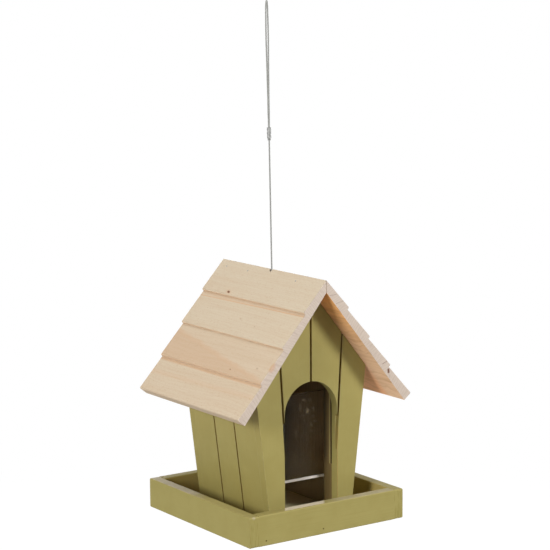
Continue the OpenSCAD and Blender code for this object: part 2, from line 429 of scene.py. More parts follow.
# Tones of the roof's underside. The ridge and rear tones are painted warm bounce light
UNDER_RIDGE_PAINTED_BOUNCE = srgb(255, 188, 114)
UNDER_LOW = srgb(237, 196, 158)
UNDER_REAR_PAINTED_BOUNCE = srgb(250, 184, 134)
UNDER_LINE = srgb(176, 120, 70)
KNOT = srgb(104, 58, 36)
INNER_EARLY = srgb(168, 140, 100)
INNER_LATE = srgb(146, 118, 80)
INNER_FOOT_PAINTED_LIGHT = srgb(190, 176, 144)
FLOOR_EARLY = srgb(192, 180, 140)
FLOOR_LATE = srgb(176, 162, 122)
STAIN_DARK = srgb(94, 79, 46)
STAIN_LIGHT = srgb(108, 92, 55)
STAIN_FOOT = srgb(106, 90, 49)
DEEP_PAINTED_SHADE = srgb(52, 41, 26)
SLOT_LIP_HIGHLIGHT = srgb(176, 158, 102)
SLOT_SHADE = srgb(58, 42, 24)
OLIVE = srgb(159, 147, 86)
OLIVE_DARK = srgb(150, 138, 77)
OLIVE_LIGHT = srgb(166, 155, 95)
OLIVE_WORN_AND_SHEEN = srgb(186, 175, 146)
OLIVE_DEEP_AND_SHADE = srgb(132, 121, 58)
KERF_BROWN = srgb(136, 112, 60)
KERF_PAINTED_LIGHT = srgb(142, 126, 68)
CUT_EDGE = srgb(158, 130, 72)
INNER_FACE_PAINTED_BOUNCE = srgb(176, 154, 92)
BARE = srgb(222, 211, 186)
BARE_GREY = srgb(196, 180, 150)
FROST = srgb(198, 190, 180)
FROST_PAINTED_LIGHT = srgb(250, 244, 236)
SMUDGE = srgb(158, 140, 104)
PAINTED_HEAD = srgb(82, 70, 22)
SHEET = (0.95, 0.94, 0.89, 1)
WIRE_STEEL = (0.46, 0.46, 0.44, 1)
NAIL_STEEL = (0.42, 0.4, 0.36, 1)
FERRULE_METAL = (0.27, 0.27, 0.26, 1)
STAGE_GREY = (0.35, 0.35, 0.35, 1)

# How rough and how glossy the surfaces are
ROOF_ROUGH, ROOF_GLOSS = 0.58, 0.2
INNER_ROUGH, INNER_GLOSS = 0.7, 0.3
CLEAT_GLOSS = 0.2
PAINT_ROUGH, PAINT_GLOSS = 0.55, 0.22
SHEET_ROUGH, SHEET_IOR = 0.02, 1.49
FROST_ROUGH, FROST_GLOSS = 0.6, 0.3
# Each bump's strength, and its depth in metres
ROOF_BUMP = (0.3, 0.2 * MM)
INNER_BUMP = (0.4, 0.3 * MM)
PAINT_BUMP = (0.3, 0.3 * MM)
METAL_BUMP = (0.25, 0.05 * MM)

# How square to an axis a surface has to look to count as a board's end
END_FACING = (0.6, 0.8)
# One growth ring from its early wood to its late wood and back
RING_STOPS = [(0.0, 0.0), (0.5, 0.12), (0.86, 1.0), (0.95, 0.45), (1.0, 0.0)]


def wood_rings(look, s, y, n, pith, spacing, seed, drift=26.0):
    """Growth rings round a pith line that wanders, as a level from 0 to 1 for early to late wood."""
    wander_s = look.join(y * 0.008, seed * 7.3, 0.0)
    wander_n = look.join(y * 0.006, seed * 3.1, 5.0)
    drift_s = look.swing(look.noise(wander_s, detail=1.0), drift)
    drift_n = look.swing(look.noise(wander_n, detail=1.0), drift * 0.6)
    off_s = s - pith[0] + drift_s
    off_n = n - pith[1] + drift_n
    radius = look.math("SQRT", off_s * off_s + off_n * off_n)
    uneven = look.noise(look.join(radius * 0.2, y * 0.02, seed))
    phase = radius / spacing + uneven * 1.6
    return look.ramp(look.math("FRACT", phase), RING_STOPS)


# Figures of the roof's wood: scales across the grain and along it, detail and roughness
FIBRE = (1.3, 0.03, 4.0, 0.6)
DASHES = (1.15, 0.24, 1.0, 0.5)
SPECKS = (0.8, 0.42, 3.0, 0.7)
# A knot is an oval along the board, a little askew. Its figures are in knot radii
KNOT_LEAN = 0.185
KNOT_SQUEEZE = 0.544
KNOT_EDGE = (1.3, 0.6)
KNOT_HALO = (3.2, 0.9)
KNOT_HOLLOW = -0.5
BEND_SQUEEZE = 0.4
BEND_REACH = 5
BEND_PUSH = 1.2
CRACK_HOLLOW = -0.4
# A crack shows on a board's front end alone
CRACK_FRONT_Y = (-80.0, -82.0)


def slope_axes(side):
    """The directions down a roof slope and out of it."""
    down = Vector((side * math.cos(PITCH), 0, -math.sin(PITCH)))
    out = Vector((side * math.sin(PITCH), 0, math.cos(PITCH)))
    return down, out


def bend_round_knots(look, true_s, y, knots):
    """The measure down the slope, pushed aside round each knot as the grain is."""
    s = true_s
    for centre_s, centre_y, radius, _ in knots:
        spot = look.join(true_s, y * BEND_SQUEEZE, 0.0)
        near = look.away(spot, (centre_s, centre_y * BEND_SQUEEZE, 0))
        push = look.step(near, radius * BEND_REACH, 0.0)
        s += push * (radius * BEND_PUSH)
    return s


def add_heartwood(look, colour, s, y, start, slant, soft, strength):
    """Darker wood below a line that wavers along the board, with an orange rim."""
    line = start + y * slant
    waver = look.swing(look.noise(y * 0.04), 5.0)
    below = s - (line + waver)
    colour = look.tint(colour, look.step(below, -soft, soft), HEART_WOOD, strength)
    rim = look.near(below, 0.0, soft * 0.3, soft)
    return look.tint(colour, rim, ORANGE_WOOD, strength * 0.3)


def underside(look, s, true_s, y, n, rings, streak):
    """The slope's underside, in warm shade, with wide rings that start below the ridge."""
    # Painted warm bounce light: orange by the ridge, paler to the eave, warmer again behind the gable's
    # face
    tone = look.mix(look.step(true_s, 10.0, 88.0), UNDER_RIDGE_PAINTED_BOUNCE, UNDER_LOW)
    tone = look.mix(look.step(y, -66.0, -54.0), tone, UNDER_REAR_PAINTED_BOUNCE)
    sway = look.noise(look.join(true_s * 0.03, y * 0.05, 4.0))
    swayed = true_s + look.swing(sway, 16.0)
    wide_rings = wood_rings(look, swayed, y, n, pith=(-40.0, 60.0), spacing=9.0, seed=3.3, drift=60.0)
    patchy = look.noise(look.join(s * 0.03, y * 0.02, 9.0))
    wide_rings *= look.step(patchy, 0.35, 0.6)
    wide_rings *= look.step(true_s, 10.0, 36.0)
    tone = look.tint(tone, wide_rings, UNDER_LINE, share=0.38)
    tone = look.tint(tone, rings, UNDER_LINE, share=0.15)
    return look.figure(tone, streak, UNDER_LINE, low=0.45, high=0.7, share=0.25)


def board_end(look, x, true_s, n, rings, seed):
    """End grain, with the dark line of the mitre at the ridge."""
    rays = look.noise(look.join(true_s * 1.5, n * 0.09, seed), roughness=0.6)
    tone = look.tint(END_GRAIN, rings, END_LINE, share=0.35)
    tone = look.figure(tone, rays, END_LINE, low=0.45, high=0.75, share=0.5)
    mitre = look.near(x, 0.0, reach=0.2, soft=0.35)
    return look.tint(tone, mitre, MITRE_LINE, share=0.7)


def add_knots(look, colour, hollow, true_s, y, knots):
    for centre_s, centre_y, radius, dark in knots:
        oval = look.join(true_s + y * KNOT_LEAN, y * KNOT_SQUEEZE, 0.0)
        near = look.away(oval, (centre_s + centre_y * KNOT_LEAN, centre_y * KNOT_SQUEEZE, 0))
        mask = look.step(near, *(radius * share for share in KNOT_EDGE))
        halo = look.step(near, *(radius * share for share in KNOT_HALO))
        colour = look.tint(colour, halo, ORANGE_WOOD, 0.3 * dark)
        colour = look.tint(colour, mask, KNOT, dark)
        hollow += mask * KNOT_HOLLOW
    return colour, hollow


def add_stains(look, colour, true_s, y, n, stains):
    """Orange spots, longer down the slope than along it."""
    for (centre_s, centre_y, centre_n), reach, strength in stains:
        spot = look.join(true_s * 0.5, y, n * 0.8)
        near = look.away(spot, (centre_s * 0.5, centre_y, centre_n * 0.8))
        colour = look.tint(colour, look.step(near, reach, reach * 0.3), ORANGE_WOOD, strength)
    return colour


def add_cracks(look, colour, hollow, true_s, y, n, cracks):
    """Thin dark checks between two points of a board's front end."""
    for (from_s, from_n), (to_s, to_n), reach, dark in cracks:
        span = Vector((to_s - from_s, to_n - from_n, 0))
        heading = span.normalized()
        half = span.length / 2
        point = look.join(true_s - from_s, n - from_n, 0.0)
        lengthwise = look.along(point, tuple(heading))
        across = look.along(point, (-heading.y, heading.x, 0))
        mask = look.near(lengthwise, half, half, reach) * look.near(across, 0.0, reach * 0.5, reach)
        mask *= look.step(y, *CRACK_FRONT_Y)
        colour = look.tint(colour, mask, KNOT, dark)
        hollow += mask * CRACK_HOLLOW
    return colour, hollow


def roof_pine(
    name, side, pith, spacing, drift, late, blush, seed, bands=(), heart=None, knots=(), stains=(),
    cracks=(), butt_light_share=0.75, speckle=0.3,
):
    """Planed bare pine for a roof board, in slope measure: s down from the peak, n out, y along."""
    look = Look(name)
    from_peak = look.stretch(look.place, shift=(0, 0, -PEAK_Z / MM))
    down, out = slope_axes(side)
    true_s = look.along(from_peak, down)
    n = look.along(from_peak, out)
    x, y, _ = look.parts
    s = bend_round_knots(look, true_s, y, knots)
    rings = wood_rings(look, s, y, n, pith, spacing, seed, drift)
    fibre = look.grain(s, y, n, *FIBRE)
    streak = look.noise(look.join(s * 0.17, y * 0.007, seed), detail=3.0, roughness=0.6)

    early = look.mix(blush, STRAW, PINK_WOOD)
    colour = look.figure(early, streak, STREAK_WOOD, low=0.4, high=0.72, share=0.45)
    if heart:
        colour = add_heartwood(look, colour, s, y, *heart)
    colour = look.tint(colour, rings, LATE_WOOD, late)
    for centre, slant, reach, soft, strength in bands:
        off = true_s - (centre + y * slant)
        colour = look.tint(colour, look.near(off, 0.0, reach, soft), ORANGE_WOOD, strength)
    dashes = look.grain(s, y, n, *DASHES)
    specks = look.grain(s, y, n, *SPECKS)
    colour = look.figure(colour, fibre, LATE_WOOD, low=0.5, high=0.85, share=0.3)
    colour = look.figure(colour, dashes, FLECK, low=0.68, high=0.79, share=0.45)
    colour = look.figure(colour, specks, LATE_WOOD, low=0.48, high=0.72, share=speckle)

    normal = look.join(*look.facing)
    under = look.step(look.along(normal, out), -0.5, -0.85)
    colour = look.tint(colour, under, underside(look, s, true_s, y, n, rings, streak), share=0.88)
    # The butts, which look down the slope, take a paler tone: painted light that lifts the shade under
    # each step
    butt = look.step(look.along(normal, down), 0.55, 0.85)
    colour = look.tint(colour, butt, BUTT_PAINTED_LIGHT, butt_light_share)
    end = look.step(look.absolute(look.facing[Y_AXIS]), *END_FACING)
    colour = look.tint(colour, end, board_end(look, x, true_s, n, rings, seed), share=0.9)

    colour, hollow = add_knots(look, colour, 0.0, true_s, y, knots)
    colour = add_stains(look, colour, true_s, y, n, stains)
    colour, hollow = add_cracks(look, colour, hollow, true_s, y, n, cracks)
    height = rings * 0.25 + fibre * 0.5 + hollow
    rough = ROOF_ROUGH + fibre * 0.2
    return look.surface(colour, rough, height, ROOF_BUMP, gloss=ROOF_GLOSS)


def split_by_grain(look, grain):
    """The two measures across the grain, and the one along it."""
    across = list(look.parts)
    along = across.pop(grain)
    return *across, along


def inner_wood(look, grain, seed, early=INNER_EARLY, late=INNER_LATE):
    """Colour and height of the bare wood inside, with its grain along one axis."""
    first, second, along = split_by_grain(look, grain)
    rings = wood_rings(look, first, along, second, pith=(38.0 + seed, -31.0), spacing=3.4, seed=seed)
    fibre = look.noise(look.join(first, along * 0.04, second), detail=4.0, roughness=0.6, scale=1.1)
    colour = look.tint(early, rings, late, share=0.55)
    colour = look.figure(colour, fibre, late, low=0.4, high=0.8, share=0.4)
    return colour, rings * 0.4 + fibre * 0.6


def inner_pine(name, grain, seed, *tones):
    look = Look(name)
    colour, height = inner_wood(look, grain, seed, *tones)
    return look.surface(colour, INNER_ROUGH, height, INNER_BUMP, gloss=INNER_GLOSS)


def cleat_wood(name, seed):
    """Dull, seed-stained wood, with a paler lip where the stopped slot was cut, partly painted highlight.
    """
    look = Look(name)
    _, y, z = look.parts
    wood, height = inner_wood(look, Z_AXIS, seed)
    stain = look.cloud((0.08, 0.08, 0.03), (5, 1, 0))
    dull = look.mix(look.step(stain, 0.25, 0.75), STAIN_DARK, STAIN_LIGHT)
    dull = look.mix(look.step(z, 62.0, 44.0), dull, STAIN_FOOT)
    colour = look.mix(0.2, dull, wood)
    depth = look.absolute(y)
    # Painted shade: darker further in from the gable and higher up
    deep = look.step(depth, 46.5, 41.0) * look.step(z, 48.0, 64.0)
    colour = look.tint(colour, deep, DEEP_PAINTED_SHADE, share=0.7)
    # A pale lip by the slot: sawn wood that also stands in as a painted highlight
    above = look.step(z, SLOT_END_Z - 0.3, SLOT_END_Z + 0.3)
    lip = look.near(depth, SLOT_FACE_Y - 1.1, reach=0.8, soft=0.5) * above
    colour = look.tint(colour, lip, SLOT_LIP_HIGHLIGHT, share=0.8)
    cut = look.step(look.absolute(look.facing[Y_AXIS]), *END_FACING)
    cut *= look.near(depth, SLOT_FACE_Y, reach=0.2, soft=0.4)
    colour = look.mix(cut, colour, SLOT_SHADE)
    return look.surface(colour, INNER_ROUGH, height, INNER_BUMP, gloss=CLEAT_GLOSS)


def paint_tone(look, grain, seed, streaky=0.22):
    """Olive paint that lets the wood's grain show a little, as a colour and a height."""
    first, second, along = split_by_grain(look, grain)
    drawn_out = look.join(first, along * 0.035, second + seed)
    streaks = look.noise(drawn_out, detail=4.0, roughness=0.6, scale=0.55)
    mottle = look.cloud((0.045, 0.045, 0.045), (seed, 0, 0), roughness=0.55)
    peel = look.cloud((0.9, 0.9, 0.9), (0, seed, 0), detail=2.0, roughness=0.5)
    lines = look.grain(first, along, second, across=1.6, along=0.02, detail=2.0, roughness=0.5)
    colour = look.mix(look.step(mottle, 0.3, 0.7), OLIVE_DARK, OLIVE_LIGHT)
    colour = look.mix(0.7, colour, OLIVE)
    colour = look.figure(colour, streaks, OLIVE_DARK, low=0.5, high=0.8, share=streaky)
    colour = look.figure(colour, lines, OLIVE_DARK, low=0.5, high=0.8, share=streaky)
    height = (streaks + lines) * 0.4 + peel * 0.3
    return colour, height


def olive_shader(look, colour, height):
    return look.surface(colour, PAINT_ROUGH, height, PAINT_BUMP, gloss=PAINT_GLOSS)


# The bare patch on the front board's top, in millimetres: where it runs along the board's inner edge, how
# far its ends run askew for each millimetre outwards, and how deep it is
BARE_FROM = -41.5
BARE_TO = 2.5
BARE_SLANT = 0.67
BARE_DEEP = 9.0
# A spot on the tray's front left corner, where the paint is knocked off: its place and reach
CHIP_PLACE = (-82.6, -87.4, 28.4)
CHIP_REACH = 2.4


def rim_top(look):
    """1 on the top of the tray's boards."""
    return look.step(look.parts[Z_AXIS], RIM_Z / MM - 1.2, RIM_Z / MM - 0.5)


def bare_patch(look, colour):
    """The front tray board's top, bare where birds land."""
    x, y, _ = look.parts
    ragged = look.cloud((0.35, 0.9, 0), (7, 2, 0))
    edge = look.swing(ragged, 2.4)
    from_inside = -(TRAY_HALF - RIM_T) / MM - y
    patch = look.step(BARE_DEEP + edge - from_inside, -0.9, 0.9)
    along = x + (from_inside * BARE_SLANT + edge * 0.5)
    patch *= look.step(along, BARE_FROM - 0.6, BARE_FROM + 0.6)
    patch *= look.step(along, BARE_TO + 1.5, BARE_TO - 1.5)
    patch *= rim_top(look)
    fibre = look.cloud((0.12, 1.1, 1.1))
    wood = look.figure(BARE, fibre, BARE_GREY, low=0.3, high=0.75, share=0.55)
    return look.mix(patch, colour, wood)


def chipped_corner(look, colour):
    """A small spot where the paint is knocked off, with a ragged edge."""
    ragged = look.cloud((0.8, 0.8, 0.8), (1, 0, 2), detail=2.0)
    off = look.away(look.place, CHIP_PLACE) + look.swing(ragged, 1.6)
    return look.tint(colour, look.step(off, CHIP_REACH, CHIP_REACH * 0.3), OLIVE_WORN_AND_SHEEN, share=0.6)


def grimy_and_shaded_top(look, colour):
    """Darker paint on a board's top: painted shade, with weathered patches."""
    weather = look.cloud((0.05, 0.1, 0.1), (3, 0, 1))
    # Painted shade that darkens the top, patchy like weathering
    share = 0.45 + look.step(weather, 0.35, 0.65) * 0.35
    return look.tint(colour, rim_top(look), OLIVE_DEEP_AND_SHADE, share)


# The height up to which the right edge of the arch shows sawn wood
CUT_TOP_Z = 103


def worn_paint(name, grain, seed, share, sawn=False, marks=()):
    """Paint as it is on eased edges, rubbed thin in places. The arch's edge can show sawn wood."""
    look = Look(name)
    colour, height = paint_tone(look, grain, seed)
    rub = look.cloud((0.16, 0.16, 0.16), (seed, seed, 0), detail=4.0, roughness=0.65)
    colour = look.figure(colour, rub, OLIVE_WORN_AND_SHEEN, low=0.35, high=0.7, share=share)
    if sawn:
        x, _, z = look.parts
        edge = look.near(x, ARCH_HALF, reach=1.2, soft=0.4)
        edge *= look.step(z, CUT_TOP_Z - 6, CUT_TOP_Z - 12)
        colour = look.tint(colour, edge, CUT_EDGE, share=0.75)
    for mark in marks:
        colour = mark(look, colour)
    return olive_shader(look, colour, height)


def tray_paint(name, grain, seed, top_wear_and_sheen, streaky, inner, marks=()):
    """Paint on a tray board, its top paler by wear and painted sheen. Marks are functions that paint over
    it.
    """
    look = Look(name)
    colour, height = paint_tone(look, grain, seed, streaky)
    parts, facing = look.parts, look.facing
    across = parts[Y_AXIS if grain == X_AXIS else X_AXIS]
    end = look.step(look.absolute(facing[grain]), 0.7, 0.9)
    fibres = look.noise(look.join(across * 0.9, parts[Z_AXIS] * 0.07, seed))
    end_lines = look.step(fibres, 0.48, 0.7) * end
    colour = look.tint(colour, end_lines, OLIVE_DEEP_AND_SHADE, share=0.6)
    inner_axis, inner_sign = inner
    # Painted warm bounce light: the inner face is lighter and warmer
    inward = look.step(facing[inner_axis] * inner_sign, 0.5, 0.8)
    colour = look.tint(colour, inward, INNER_FACE_PAINTED_BOUNCE, share=0.6)
    # Painted sheen and wear: the top is paler, most towards its far end
    top = look.step(facing[Z_AXIS], 0.6, 0.9)
    rub = look.cloud((0.07, 0.07, 0.07), (seed, 0, 3), detail=4.0)
    near_wear_and_sheen, far_wear_and_sheen = top_wear_and_sheen
    far = look.step(parts[grain] + look.swing(rub, 30.0), -8.0, 24.0)
    level = near_wear_and_sheen + far * (far_wear_and_sheen - near_wear_and_sheen)
    thin = top * (0.7 + look.step(rub, 0.3, 0.7) * 0.3)
    colour = look.tint(colour, thin, OLIVE_WORN_AND_SHEEN, level)
    for mark in marks:
        colour = mark(look, colour)
    return olive_shader(look, colour, height)


# Half of a kerf's colour, a little wider than the kerf itself, and how soft its edge is, in millimetres
KERF_REACH = KERF_W / MM / 2 + 0.05
KERF_SOFT = 0.1
# The height in millimetres below which the middle line lies in the arch and is no kerf
MIDDLE_KERF_Z = (100.0, 101.0)


def kerf_shade(look, colour, kerf):
    """Bare wood in a saw kerf. It is paler low down, where a kerf runs out into the arch: painted light
    there.
    """
    # Painted light: the kerf is paler where it runs out into the arch
    wood = look.mix(look.step(look.parts[Z_AXIS], CUT_TOP_Z - 2, CUT_TOP_Z), KERF_PAINTED_LIGHT, KERF_BROWN)
    return look.mix(kerf, colour, wood)


def bare_inside(look, colour, height, axis, outward, seed):
    """A painted wall's colour and height, with bare wood on the face that looks inwards."""
    wood, wood_height = inner_wood(look, Z_AXIS, seed)
    # Painted light: the bare wood inside is paler towards its foot
    wood = look.tint(wood, look.step(look.parts[Z_AXIS], 62.0, 28.0), INNER_FOOT_PAINTED_LIGHT, share=0.6)
    inside = look.step(look.facing[axis] * -outward, 0.5, 0.7)
    colour = look.mix(inside, colour, wood)
    return colour, height * (1.0 - inside) + wood_height * inside


def above_floor(z):
    return z - FLOOR_T / MM


def gable_paint(name, end, seed):
    """Olive outside and in the arch, dark in the kerfs, bare wood on the face inside."""
    look = Look(name)
    x, y, z = look.parts
    colour, height = paint_tone(look, Z_AXIS, seed)
    low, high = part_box("gable_wall_" + END_NAMES[end])
    face_y = (low if end < 0 else high).y / MM
    depth = look.absolute(y - face_y)
    half = HOUSE_FOOT / MM + above_floor(z) * math.tan(SIDE_LEAN)
    across = look.absolute(x)
    outer = look.near(across - half * KERF_SHARE, 0.0, KERF_REACH, KERF_SOFT)
    middle = look.near(across, 0.0, KERF_REACH, KERF_SOFT)
    deepest = KERF_DEEP / MM
    in_kerf = look.step(depth, 0.15, 0.5) * look.step(depth, deepest + 0.3, deepest + 0.1)
    in_arch = middle * (1.0 - look.step(z, *MIDDLE_KERF_Z))
    kerf = look.larger(outer, middle) * in_kerf * (1.0 - in_arch)
    colour = kerf_shade(look, colour, kerf)
    colour, height = bare_inside(look, colour, height, Y_AXIS, end, seed)
    return olive_shader(look, colour, height)


def side_paint(name, side, seed):
    """Olive outside, dark in the kerfs between the planks, bare wood on the face inside."""
    look = Look(name)
    x, y, z = look.parts
    colour, height = paint_tone(look, Z_AXIS, seed)
    half_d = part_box("side_wall_left")[1].y / MM
    plank = 2 * half_d / SIDE_PLANKS
    outer_face = HOUSE_FOOT / MM * math.cos(SIDE_LEAN) + above_floor(z) * math.sin(SIDE_LEAN)
    out = look.absolute(x) * math.cos(SIDE_LEAN) - outer_face
    kerf = 0.0
    for k in range(1, SIDE_PLANKS):
        kerf = look.larger(kerf, look.near(y, -half_d + k * plank, KERF_REACH, KERF_SOFT))
    kerf *= look.step(out, -0.15, -0.5)
    colour = look.mix(kerf, colour, KERF_BROWN)
    colour, height = bare_inside(look, colour, height, X_AXIS, side, seed)
    return olive_shader(look, colour, height)


# Smudges on a pane: each one's middle, half its width and height in millimetres, and its strength
SMUDGES = [
    ((7.2, 116.6), (2.4, 2.0), 0.5), ((3.2, 109.8), (1.5, 5.4), 0.5), ((11.4, 105.6), (2.6, 3.2), 0.85),
    ((18.7, 107.0), (1.7, 2.8), 0.6), ((5.6, 101.6), (3.2, 1.4), 0.35), ((18.6, 99.6), (1.5, 2.4), 0.4),
    ((20.6, 94.4), (3.0, 0.9), 0.95), ((16.0, 91.6), (1.6, 2.6), 0.6), ((17.8, 85.4), (3.0, 1.3), 0.3),
    ((-2.0, 86.0), (3.0, 5.0), 0.22), ((-4.5, 63.0), (4.0, 5.0), 0.2), ((22.0, 52.0), (3.0, 4.0), 0.3),
]
# How much of a pane's surface a film of dust takes up everywhere, and the smudges at their strongest
FILM = 0.008
SMUDGE_SHARE = 0.36


def pane_smudges(look):
    """Spots of dust all over a pane, and the smudges on it, as a level from 0 to 1."""
    x, _, z = look.parts
    spots = look.cloud((0.3, 0.0, 0.22), detail=4.0, roughness=0.7)
    fine = look.cloud((0.9, 0.0, 0.7), (2, 0, 0), detail=2.0)
    marks = look.step(spots, 0.5, 0.75) * 0.4
    ragged = look.swing(spots, 1.1)
    for (smudge_x, smudge_z), (half_x, half_z), strength in SMUDGES:
        oval = look.join((x - smudge_x) * (1 / half_x), (z - smudge_z) * (1 / half_z), 0.0)
        off = look.away(oval, (0, 0, 0)) + ragged
        marks = look.larger(marks, look.step(off, 1.15, 0.25) * strength)
    return marks * (0.55 + look.step(fine, 0.3, 0.65) * 0.45)


def clear_acrylic(name):
    """Dusty clear sheet. Its sawn edges are frosted, and show as a pale line along its foot."""
    look = Look(name)
    x, _, z = look.parts
    marks = pane_smudges(look)
    edge = look.step(look.absolute(look.facing[Y_AXIS]), 0.7, 0.3)
    below_top = look.step(z, PANE_TOP - 1.5, PANE_TOP - 3.0)
    edge *= 0.15 + below_top * 0.85
    foot = look.near(z, PANE_Z + 1.2, reach=1.1, soft=0.35)
    sawn = look.larger(edge, foot)
    frost = look.larger(sawn, FILM + marks * SMUDGE_SHARE)
    # Painted light: the frosted line is brighter towards the right, where the arch's jamb shades it
    lit = look.mix(look.step(x, -5.0, 28.0), FROST, FROST_PAINTED_LIGHT)
    clear = look.principled(
        Base_Color=SHEET, Roughness=SHEET_ROUGH, IOR=SHEET_IOR, Transmission_Weight=1.0,
        Specular_Tint=(0.01, 0.01, 0.01, 1),
    )
    frosted = look.principled(
        Base_Color=look.mix(sawn, SMUDGE, lit), Roughness=FROST_ROUGH, Specular_IOR_Level=FROST_GLOSS,
    )
    return look.output(look.value("MixShader", {0: frost, 1: clear, 2: frosted}))


# The share of its brightness that a metal keeps where it is dull
DULL_SHARE = 0.72


def metal(name, tint, rough, grain):
    """Dull metal, mottled by a noise with the grain's scales."""
    look = Look(name)
    mark = look.cloud(grain, detail=4.0)
    dull = tuple(DULL_SHARE * c for c in tint[:3]) + (1,)
    colour = look.mix(look.step(mark, 0.35, 0.7), tint, dull)
    return look.surface(colour, rough + mark * 0.2, mark, METAL_BUMP, metallic=1.0)


def painted_head(name):
    """Thin, dirty paint over a nail's head."""
    look = Look(name)
    grime = look.cloud((1.5, 1.5, 1.5), (4, 0, 0))
    colour = look.mix(look.step(grime, 0.45, 0.85), PAINTED_HEAD, OLIVE_DARK)
    return olive_shader(look, colour, grime)


def dress(node, *materials):
    """Gives an object new materials."""
    slots = node.data.materials
    slots.clear()
    for material in materials:
        slots.append(material)


# How wide the eased edges are on bare boards, on painted boards and on small pieces
WOOD_EDGE = 0.5 * MM
PAINT_EDGE = 0.5 * MM
FINE_EDGE = 0.25 * MM
# Points closer than this are one corner, and edges sharper than this are eased
WELD_REACH = 0.02 * MM
SHARP_ANGLE = math.radians(28)
EDGE_SEGMENTS = 3
# The worn paint's place among a board's materials
WORN_SLOT = 1


def finish_solid(name, width, *materials):
    """Gives a solid its materials and eased edges, which take the worn material if there is one."""
    node = solids[name]
    dress(node, *materials)
    weld = node.modifiers.new("weld", "WELD")
    weld.merge_threshold = WELD_REACH
    bevel = node.modifiers.new("eased_edges", "BEVEL")
    bevel.width = width
    bevel.segments = EDGE_SEGMENTS
    bevel.limit_method = "ANGLE"
    bevel.angle_limit = SHARP_ANGLE
    bevel.miter_outer = "MITER_ARC"
    if len(materials) > WORN_SLOT:
        bevel.material = WORN_SLOT
    normals = node.modifiers.new("shading", "WEIGHTED_NORMAL")
    normals.keep_sharp = False


# Each roof board by its side and its course from the ridge down. Lengths are in millimetres of slope
# measure. pith: s and n of the rings' middle. bands: s, slant, reach, softness, strength. heart: s, slant,
# softness, strength. knots: s, y, radius, darkness. stains: (s, y, n), reach, strength. cracks: from and
# to as (s, n), reach, darkness
ROOF_LOOKS = {
    (-1, 0): dict(
        pith=(-70, -12), spacing=2.1, drift=10, late=0.13, blush=0.0, seed=1.0, speckle=0.35,
        knots=((25.2, 42.1, 1.25, 0.9),),
    ),
    (-1, 1): dict(
        pith=(118, -20), spacing=2.4, drift=9, late=0.13, blush=0.05, seed=2.4, speckle=0.35,
        bands=((30.6, 0.0, 1.2, 1.2, 0.25), (32.6, 0.015, 0.25, 0.6, 0.55)),
        knots=((48.6, 0.1, 0.6, 0.3), (52.9, -27.4, 0.6, 0.25)),
    ),
    (-1, 2): dict(
        pith=(170, -30), spacing=4.5, drift=8, late=0.15, blush=0.3, seed=3.7,
        heart=(89.2, -0.1626, 3.0, 0.65),
        knots=((91.6, -67.3, 0.9, 0.25), (99.7, -31.2, 0.7, 0.5)),
        stains=(((86.8, -86.0, 7.8), 3.6, 0.5),),
    ),
    (-1, 3): dict(
        pith=(60, -14), spacing=3.3, drift=22, late=0.17, blush=0.15, seed=4.2, speckle=0.4,
        bands=((107.4, 0.0, 0.6, 1.4, 0.5), (121.0, 0.02, 1.0, 3.0, 0.2)), butt_light_share=0.3,
    ),
    (1, 0): dict(
        pith=(90, -16), spacing=2.2, drift=10, late=0.2, blush=0.05, seed=5.9,
        cracks=(((4.7, 0.8), (9.2, 7.0), 0.2, 0.5), ((15.5, 1.3), (19.4, 8.6), 0.2, 0.5)),
    ),
    (1, 1): dict(pith=(-30, -18), spacing=2.6, drift=10, late=0.2, blush=0.1, seed=6.3),
    (1, 2): dict(
        pith=(190, -22), spacing=2.3, drift=9, late=0.2, blush=0.1, seed=7.7,
        cracks=(((98.0, 3.4), (99.6, 8.8), 0.3, 0.65),),
    ),
    (1, 3): dict(
        pith=(30, -24), spacing=2.5, drift=12, late=0.2, blush=0.15, seed=8.5, butt_light_share=0.3,
        cracks=(((106.8, 5.2), (109.4, 3.4), 1.1, 0.9), ((109.4, 3.2), (114.0, 1.8), 0.22, 0.35)),
    ),
}
# A tray board's name, its grain's axis, how pale its top is at either end by wear and painted sheen, how
# worn its edges are, how streaky its paint is, which way its inner face looks, and the marks on it
TRAY_LOOKS = [
    ("front", X_AXIS, (0.05, 0.6), 0.7, 0.55, (Y_AXIS, 1), (bare_patch, chipped_corner)),
    ("back", X_AXIS, (0.1, 0.1), 0.1, 0.2, (Y_AXIS, -1), (grimy_and_shaded_top,)),
    ("left", Y_AXIS, (0.1, 1.0), 0.7, 0.16, (X_AXIS, 1), (chipped_corner,)),
    ("right", Y_AXIS, (0.12, 0.24), 0.4, 0.12, (X_AXIS, -1), ()),
]
HOUSE_EDGE_WEAR = 0.25
# Seeds, which keep the figures of different boards apart
TRAY_SEED, TRAY_EDGE_SEED = 11.0, 15.0
FLOOR_SEED = 21.0
GABLE_SEED, GABLE_EDGE_SEED = 31.0, 33.0
SIDE_SEED, SIDE_EDGE_SEED = 35.0, 37.0
CLEAT_SEED, LEVEL_SEED = 41.0, 43.0


def finish_roof():
    for (side, course), figures in ROOF_LOOKS.items():
        name = f"roof_board_{SIDE_NAMES[side]}_{course + 1}"
        finish_solid(name, WOOD_EDGE, roof_pine("pine_" + name, side, **figures))


def finish_tray():
    for index, (name, grain, top_wear_and_sheen, edge_wear, streaky, inner, marks) in enumerate(TRAY_LOOKS):
        paint = tray_paint("olive_tray_" + name, grain, TRAY_SEED + index, top_wear_and_sheen, streaky, inner, marks)
        worn = worn_paint("olive_edge_" + name, grain, TRAY_EDGE_SEED + index, edge_wear, marks=marks)
        finish_solid("tray_board_" + name, PAINT_EDGE, paint, worn)
    floor = inner_pine("inner_pine_floor", X_AXIS, FLOOR_SEED, FLOOR_EARLY, FLOOR_LATE)
    finish_solid("tray_floor", WOOD_EDGE, floor)


